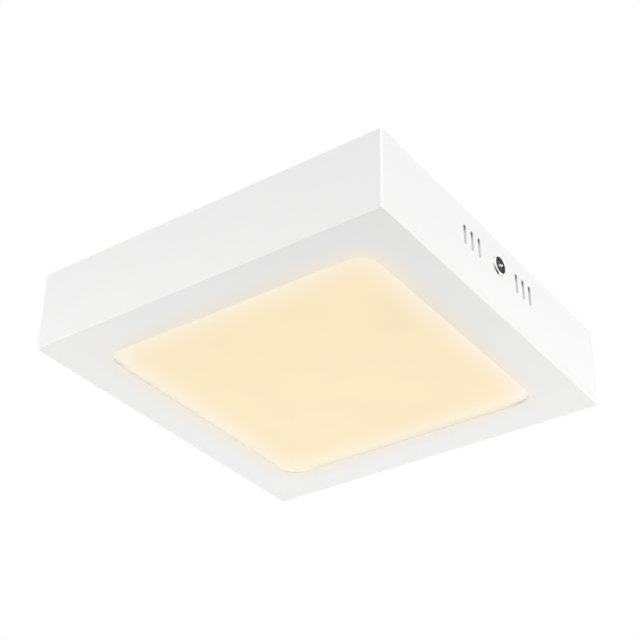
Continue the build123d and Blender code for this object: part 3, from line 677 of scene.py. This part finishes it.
# Terminal block: a moulded nylon body with three poles, brass bus bars in its chambers, and two screws down
# into the back plate's burrs. The mains wires push in from the open side.
block_edge = 0.25 * mm
terminal_head = 5.6 * mm
terminal_head_height = 2.0 * mm
terminal_shank = 3.0 * mm
terminal_pitch = 0.5 * mm
terminal_screw_seed = 3
satin_nylon = finish(
    "satin nylon", (0.84, 0.85, 0.83), (0.79, 0.8, 0.78), (0.35, 0.48), 0.6 * mm, 0.01 * mm
)
terminal_block = merged_copy("terminal_block", "terminal_block_moulding")
round_edges(terminal_block, block_edge, satin_nylon)
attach(terminal_block, "fixture")
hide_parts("terminal_block")
stamped_brass = finish(
    "stamped brass", (0.8, 0.58, 0.25), (0.66, 0.46, 0.18), (0.22, 0.34), 0.9 * mm, 0.004 * mm, metallic=1.0
)
dress(stamped_brass, "terminal_contacts")
screws_low, screws_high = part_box("terminal_screws")
seat_z = screws_high.z - terminal_head_height
middle_x = (screws_low.x + screws_high.x) / 2
head_half = terminal_head / 2
places = [(middle_x, y, seat_z) for y in (screws_low.y + head_half, screws_high.y - head_half)]
terminal_screw = screw_mesh(
    "terminal screw",
    terminal_head,
    terminal_head_height,
    terminal_shank,
    seat_z - screws_low.z,
    terminal_pitch,
    pan_boxiness,
)
terminal_screws = drive_screws(
    "terminal_screws_driven", places, terminal_screw, terminal_screw_seed, zinc_screw
)
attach(terminal_screws, "fixture")
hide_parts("terminal_screws")

# Earth point: a tinned ring terminal crimped on the earth wire, under a toothed washer and an M4 screw that
# bites through to the bare back plate.
earth_head = 7.0 * mm
earth_head_height = 2.4 * mm
earth_shank = 4.0 * mm
earth_pitch = 0.7 * mm
earth_screw_seed = 5
bright_nickel = finish(
    "bright nickel", (0.86, 0.85, 0.83), (0.74, 0.73, 0.71), (0.14, 0.24), 0.7 * mm, 0.002 * mm, metallic=1.0
)
dress(tinned_copper, "earth_ring")
dress(bright_nickel, "earth_washer")
screw_low, screw_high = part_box("earth_screw")
seat_z = screw_high.z - earth_head_height
places = [((screw_low.x + screw_high.x) / 2, (screw_low.y + screw_high.y) / 2, seat_z)]
earth_blank = screw_mesh(
    "earth screw",
    earth_head,
    earth_head_height,
    earth_shank,
    seat_z - screw_low.z,
    earth_pitch,
    pan_boxiness,
)
earth_screw = drive_screws("earth_screw_driven", places, earth_blank, earth_screw_seed, zinc_screw)
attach(earth_screw, "fixture")
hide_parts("earth_screw")

# Leads: stranded copper in coloured PVC, soldered to the driver's board. Brown and blue bring the mains from
# the terminal block, green and yellow is the earth, and red and black go through a rubber bush to the LEDs.
lead_bend = 11 * mm
drop_bend = 4.5 * mm
output_bend = 7 * mm
earth_bend = 4 * mm
lead_radius = 1.0 * mm
output_radius = 0.8 * mm
bend_steps = 10
tube_sides = 20
board_overlap = 4 * mm
earth_drop_start = 3.5 * mm
earth_drop_end = 9.5 * mm
output_turn_start = 4 * mm
output_turn_end = 9.5 * mm
output_shift = 0.6 * mm
wire_size = 1.5 * mm
wire_depth = 0.006 * mm
wire_roughness = (0.38, 0.48)
stripe_middle = 0.5
stripe_start = 0.2
stripe_end = 0.22
stripe_yellow = (0.85, 0.68, 0.05, 1)
earth_green = (0.03, 0.25, 0.05, 1)

lead_tube, given = new_tree(
    "insulated lead", {"Wire radius": "NodeSocketFloat", "Finish": "NodeSocketMaterial"}
)
bend = node(lead_tube, "GeometryNodeInputRadius").outputs[0]
route = node(
    lead_tube,
    "GeometryNodeFilletCurve",
    {"Curve": given["Geometry"], "Count": bend_steps, "Radius": bend, "Limit Radius": True},
    mode="POLY",
)
even = node(lead_tube, "GeometryNodeSetCurveRadius", {"Curve": route.outputs[0], "Radius": 1.0})
section = node(
    lead_tube,
    "GeometryNodeCurvePrimitiveCircle",
    {"Resolution": tube_sides, "Radius": given["Wire radius"]},
)
share = node(lead_tube, "GeometryNodeSplineParameter").outputs["Factor"]
marked = node(
    lead_tube,
    "GeometryNodeStoreNamedAttribute",
    {"Geometry": section.outputs[0], "Name": "round", "Value": share},
)
tube = node(
    lead_tube,
    "GeometryNodeCurveToMesh",
    {"Curve": even.outputs[0], "Profile Curve": marked.outputs[0], "Fill Caps": True},
)
smooth = node(lead_tube, "GeometryNodeSetShadeSmooth", {"Geometry": tube.outputs[0]})
end_tree(lead_tube, smooth.outputs[0], given["Finish"])


def lay_lead(name, route, bends, radius, material):
    """A round insulated lead along a route, with a bend radius at each corner, in place of its CAD node."""
    curve = bpy.data.curves.new(name, "CURVE")
    curve.dimensions = "3D"
    spline = curve.splines.new("POLY")
    spline.points.add(len(route) - 1)
    for point, corner, bend_radius in zip(spline.points, route, (0, *bends, 0)):
        point.co = (*corner, 1)
        point.radius = bend_radius
    lead = run_tree(
        linked_object(f"{name}_insulated", curve), lead_tube, **{"Wire radius": radius, "Finish": material}
    )
    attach(lead, "fixture")
    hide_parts(name)


brown_wire, blue_wire, red_wire, black_wire = (
    finish(f"{colour} insulation", tone, shade, wire_roughness, wire_size, wire_depth)
    for colour, tone, shade in (
        ("brown", (0.2, 0.075, 0.03), (0.15, 0.055, 0.022)),
        ("blue", (0.03, 0.12, 0.5), (0.022, 0.09, 0.4)),
        ("red", (0.5, 0.025, 0.02), (0.4, 0.02, 0.016)),
        ("black", (0.02, 0.02, 0.022), (0.012, 0.012, 0.014)),
    )
)
earth_wire, tree, shader, place = new_material("green and yellow insulation")
around = node(tree, "ShaderNodeAttribute", attribute_name="round").outputs["Fac"]
from_stripe = maths(tree, "ABSOLUTE", maths(tree, "SUBTRACT", around, stripe_middle))
stripe = ramp(tree, from_stripe, stripe_start, stripe_end, 1.0, 0.0)
feed(tree, shader, {
    "Base Color": blend(tree, stripe, earth_green, stripe_yellow),
    "Roughness": vary(tree, grain(tree, place, wire_size), *wire_roughness),
})

for node_name, slot_name, material in (
    ("input_lead_live", "brown_wire", brown_wire),
    ("input_lead_neutral", "blue_wire", blue_wire),
):
    low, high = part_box(node_name)
    driver_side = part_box("driver_board")[0].x + board_overlap
    middle_z = (low.z + high.z) / 2
    loop_x = low.x + lead_radius
    near_y, far_y = low.y + lead_radius, high.y - lead_radius
    route = [
        (driver_side, near_y, middle_z),
        (loop_x, near_y, middle_z),
        (loop_x, far_y, middle_z),
        (max(high.x, driver_side), far_y, middle_z),
    ]
    lay_lead(node_name, route, (lead_bend, lead_bend), lead_radius, material)

low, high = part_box("earth_lead")
earth_y = (low.y + high.y) / 2
terminal_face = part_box("terminal_block")[0].x
earth_low = low.z + lead_radius
earth_high = high.z - lead_radius
route = [
    (high.x, earth_y, earth_high),
    (terminal_face - earth_drop_start, earth_y, earth_high),
    (terminal_face - earth_drop_end, earth_y, earth_low),
    (low.x, earth_y, earth_low),
]
lay_lead("earth_lead", route, (earth_bend, earth_bend), lead_radius, earth_wire)

for node_name, slot_name, material, shift in (
    ("output_lead_positive", "red_wire", red_wire, -output_shift),
    ("output_lead_negative", "black_wire", black_wire, output_shift),
):
    low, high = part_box(node_name)
    case_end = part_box("driver_case")[1].x
    drop_x = high.x - output_radius
    start_y, end_y = high.y - output_radius, low.y + output_radius
    run_z = high.z - output_radius
    route = [
        (low.x, start_y, run_z),
        (case_end + output_turn_start + shift, start_y, run_z),
        (drop_x - output_turn_end + shift, end_y, run_z),
        (drop_x, end_y, run_z),
        (drop_x, end_y, low.z),
    ]
    lay_lead(node_name, route, (output_bend, output_bend, drop_bend), output_radius, material)
dress(
    finish("black rubber", (0.03, 0.03, 0.03), (0.018, 0.018, 0.018), (0.6, 0.75), 0.5 * mm, 0.015 * mm),
    "lead_bush",
)

# Mounting bracket: a zinc-plated steel strip, punched, beaded and bent, screwed to the ceiling through its
# slots. Its two ears reach down inside the housing and take the side screws.
bracket_edge = 0.2 * mm
spangle_size = 5 * mm
spangle_dark = (0.66, 0.68, 0.7, 1)
spangle_light = (0.74, 0.76, 0.78, 1)
spangle_dullness = 0.08
rolled_size = 1.2 * mm
rolled_stretch = (0.1, 3, 3)
rolled_depth = 0.004 * mm
strip_roughness = (0.28, 0.4)
zinc_strip, tree, shader, place = new_material("zinc plated strip")
spangle = node(tree, "ShaderNodeTexVoronoi", {"Vector": place, "Scale": 1 / spangle_size})
flake = node(tree, "ShaderNodeSeparateColor", {0: spangle.outputs["Color"]}).outputs[0]
dulled = maths(tree, "MULTIPLY", flake, spangle_dullness)
drawn_out = node(tree, "ShaderNodeMapping", {"Vector": place, "Scale": rolled_stretch}).outputs[0]
rolled = grain(tree, drawn_out, rolled_size)
feed(tree, shader, {
    "Base Color": blend(tree, flake, spangle_dark, spangle_light),
    "Roughness": maths(tree, "ADD", vary(tree, rolled, *strip_roughness), dulled),
    "Metallic": 1.0,
})
add_relief(tree, shader, rolled, rolled_depth)
bracket = merged_copy("mounting_bracket", "mounting_bracket_strip")
round_edges(bracket, bracket_edge, zinc_strip)
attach(bracket, "fixture")
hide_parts("mounting_bracket")

# Side washers: small stamped nickel washers between the side screws and the vented walls. Their flat is
# bright, and their edge carries a dark painted shadow below, where the screw's head shades it.
washer_edge = 0.08 * mm
shadow_band_start = 0.6 * mm
shadow_band_full = 0.5 * mm
shade_low = -0.95
shade_high = -0.1
shade_near = -0.2
shade_far = 0.15
shade_least = 0.2
painted_shadow_dark = (0.01, 0.01, 0.01, 1)
nickel_shade = (0.9, 0.9, 0.89, 1)
nickel_tone = (0.95, 0.95, 0.94, 1)
nickel_size = 0.6 * mm
nickel_roughness = (0.2, 0.32)
row_z = sum(corner.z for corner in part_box("side_washer_right")) / 2


def from_row_axis(tree, place):
    """How far a point lies from the axis of the side screws."""
    across, height = node(tree, "ShaderNodeSeparateXYZ", {0: place}).outputs[1:]
    return length(tree, across, maths(tree, "SUBTRACT", height, row_z))


stamped_nickel, tree, shader, place = new_material("stamped nickel")
washer_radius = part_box("side_washer_right")[1].y
across, height = node(tree, "ShaderNodeSeparateXYZ", {0: place}).outputs[1:]
off_axis = from_row_axis(tree, place)
# Painted shadow: the washer's edge is painted dark below and beside the screw's head.
at_edge = ramp(tree, off_axis, washer_radius - shadow_band_start, washer_radius - shadow_band_full)
shade_bottom, shade_top = (row_z + share * washer_radius for share in (shade_low, shade_high))
below = ramp(tree, height, shade_bottom, shade_top, 1.0, shade_least)
beside = ramp(tree, across, shade_near * washer_radius, shade_far * washer_radius, 1.0, shade_least)
painted_shadow = maths(tree, "MULTIPLY", at_edge, maths(tree, "MULTIPLY", below, beside))
stamping = grain(tree, place, nickel_size, detail=3.0)
flat_face = blend(tree, stamping, nickel_shade, nickel_tone)
feed(tree, shader, {
    "Base Color": blend(tree, painted_shadow, flat_face, painted_shadow_dark),
    "Roughness": vary(tree, stamping, *nickel_roughness),
    "Metallic": 1.0,
})
for side_name in ("right", "left"):
    washer = merged_copy(f"side_washer_{side_name}", f"side_washer_{side_name}_stamped")
    round_edges(washer, washer_edge, stamped_nickel)
    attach(washer, f"washer_{side_name}")
    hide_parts(f"side_washer_{side_name}")

# Side screws: low M4 nickel heads that hold the light on its bracket, screwed into the bracket's ears. The
# colour is painted reflection: a dark face, grey recess walls, a bright glint at the recess's middle and a
# bright turned rim.
side_head = 7.6 * mm
side_head_height = 0.8 * mm
side_shank = 3.9 * mm
side_pitch = 0.7 * mm
side_boxiness = 16
recess_turn = math.radians(28)
bright_start = 0.10 * mm
bright_full = 0.04 * mm
recess_start = 0.10 * mm
recess_full = 0.16 * mm
glint_start = 0.35 * mm
glint_end = 0.8 * mm
turning_size = 0.5 * mm
turning_depth = 0.002 * mm
screw_roughness = (0.2, 0.32)
face_reflection_dark = (0.016, 0.016, 0.018, 1)
face_reflection_light = (0.028, 0.028, 0.030, 1)
recess_reflection_grey = (0.32, 0.32, 0.32, 1)
face_tint = (0.7, 0.7, 0.7, 1)
bright_reflection = (0.97, 0.97, 0.96, 1)

nickel_painted_reflections, tree, shader, place = new_material("dark nickel with a bright rim")
face_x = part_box("side_screw_right")[1].x
outwards = maths(tree, "ABSOLUTE", node(tree, "ShaderNodeSeparateXYZ", {0: place}).outputs[0])
below_face = maths(tree, "SUBTRACT", face_x, outwards)
off_axis = from_row_axis(tree, place)
head_radius = side_head / 2
within_rim = ramp(tree, off_axis, head_radius - bright_start, head_radius - bright_full, 1.0, 0.0)
turning = grain(tree, place, turning_size, detail=3.0)
# Painted reflection: a bright glint at the recess's middle over grey recess walls, a dark face and a bright
# rim.
recess = blend(tree, ramp(tree, off_axis, glint_start, glint_end), bright_reflection, recess_reflection_grey)
face = blend(tree, turning, face_reflection_dark, face_reflection_light)
top = blend(tree, ramp(tree, below_face, recess_start, recess_full), face, recess)
feed(tree, shader, {
    "Base Color": blend(tree, within_rim, bright_reflection, top),
    "Specular Tint": blend(tree, within_rim, bright_reflection, face_tint),
    "Roughness": vary(tree, turning, *screw_roughness),
    "Metallic": 1.0,
})
add_relief(tree, shader, turning, turning_depth)

for side, side_name in ((1, "right"), (-1, "left")):
    low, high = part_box(f"side_screw_{side_name}")
    head_x = high.x if side > 0 else low.x
    tip_x = low.x if side > 0 else high.x
    seat_x = head_x - side * side_head_height
    mesh = screw_mesh(
        f"side_screw_{side_name}_threaded",
        side_head,
        side_head_height,
        side_shank,
        abs(seat_x - tip_x),
        side_pitch,
        side_boxiness,
    )
    outward = Vector((side, 0, 0)).to_track_quat("Z", "Y").to_matrix().to_4x4()
    mesh.transform(Matrix.Translation((seat_x, 0, row_z)) @ outward @ Matrix.Rotation(recess_turn, 4, "Z"))
    mesh.materials.append(nickel_painted_reflections)
    screw = linked_object(f"side_screw_{side_name}_threaded", mesh)
    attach(screw, f"screw_{side_name}")
    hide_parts(f"side_screw_{side_name}")

# Floor: a wide pale studio floor well below the light. It keeps the light's shadow near the middle and turns
# into the white backdrop further out.
floor_z = -0.80
floor_half = 30.0
fade_start = 0.5
fade_end = 2.2
fade_share = 0.45
floor_tone = (0.86, 0.86, 0.855, 1)
floor_roughness = 0.9
floor_mesh = bpy.data.meshes.new("floor")
corners = [(x * floor_half, y * floor_half, floor_z) for x, y in ((-1, -1), (1, -1), (1, 1), (-1, 1))]
floor_mesh.from_pydata(corners, [], [(0, 1, 2, 3)])
floor = linked_object("floor", floor_mesh)
pale_floor, tree, shader, place = new_material("pale floor")
from_middle = length(tree, *node(tree, "ShaderNodeSeparateXYZ", {0: place}).outputs[:2])
ray = node(tree, "ShaderNodeLightPath")
seen = maths(tree, "MAXIMUM", ray.outputs["Is Camera Ray"], ray.outputs["Is Glossy Ray"])
fade = maths(tree, "MULTIPLY", seen, ramp(tree, from_middle, fade_start, fade_end, fade_share, 1.0))
feed(tree, shader, {"Base Color": floor_tone, "Roughness": floor_roughness})
white = node(tree, "ShaderNodeEmission", {"Strength": 1.0})
mixed = node(tree, "ShaderNodeMixShader", {0: fade, 1: shader.outputs[0], 2: white.outputs[0]})
feed(tree, tree.nodes["Material Output"], {"Surface": mixed.outputs[0]})
floor_mesh.materials.append(pale_floor)

# Light: a soft grey room that shows white behind the object and in its metal, and wide lamps around it. The
# edge lamp draws the highlight on the housing's near edge.
room_grey = (0.20, 0.20, 0.20, 1)
backdrop_white = (1, 1, 1, 1)
world = bpy.data.worlds.new("studio")
bpy.context.scene.world = world
world.use_nodes = True
tree = world.node_tree
ray = node(tree, "ShaderNodeLightPath")
seen = maths(tree, "MAXIMUM", ray.outputs["Is Camera Ray"], ray.outputs["Is Glossy Ray"])
seen = maths(tree, "MAXIMUM", seen, ray.outputs["Is Transmission Ray"])
feed(tree, tree.nodes["Background"], {"Color": blend(tree, seen, room_grey, backdrop_white)})
for lamp_name, spot, size, power in (
    ("left_lamp", (-0.55, -1.0, 0.10), 0.8, 6.3),
    ("right_lamp", (1.1, 0.55, 0.15), 0.8, 6.8),
    ("low_left_lamp", (-0.48, -0.17, -0.43), 0.3, 1.38),
    ("low_right_lamp", (0.17, 0.48, -0.43), 0.3, 1.62),
    ("edge_lamp", (0.81, -0.59, 0.66), 0.4, 6.4),
):
    lamp_data = bpy.data.lights.new(lamp_name, "AREA")
    lamp_data.shape = "DISK"
    lamp_data.size = size
    lamp_data.energy = power
    lamp = linked_object(lamp_name, lamp_data)
    lamp.location = spot
    lamp.rotation_euler = (-Vector(spot)).to_track_quat("-Z", "Y").to_euler()

# Camera: where the photograph was taken, below the light and off its corner, turned a little about its
# axis. The values were solved from the box's corners and edges in the photograph.
azimuth = math.radians(35.948)
elevation = math.radians(-33.059)
roll = math.radians(1.024)
distance = 0.64624
aside = -0.00254
above = -0.00659
focal_length = 83.67
sensor_width = 36
back = Vector(
    (math.sin(azimuth) * math.cos(elevation), -math.cos(azimuth) * math.cos(elevation), math.sin(elevation))
)
level = Vector((math.cos(azimuth), math.sin(azimuth), 0))
upright = back.cross(level)
right = math.cos(roll) * level + math.sin(roll) * upright
up = math.cos(roll) * upright - math.sin(roll) * level
camera_data = bpy.data.cameras.new("camera")
camera_data.lens = focal_length
camera_data.sensor_width = sensor_width
camera = linked_object("camera", camera_data)
camera.matrix_world = Matrix.Translation(distance * back + aside * right + above * up) @ Matrix(
    (right, up, back)
).transposed().to_4x4()
bpy.context.scene.camera = camera
bpy.context.scene.view_settings.view_transform = "Standard"
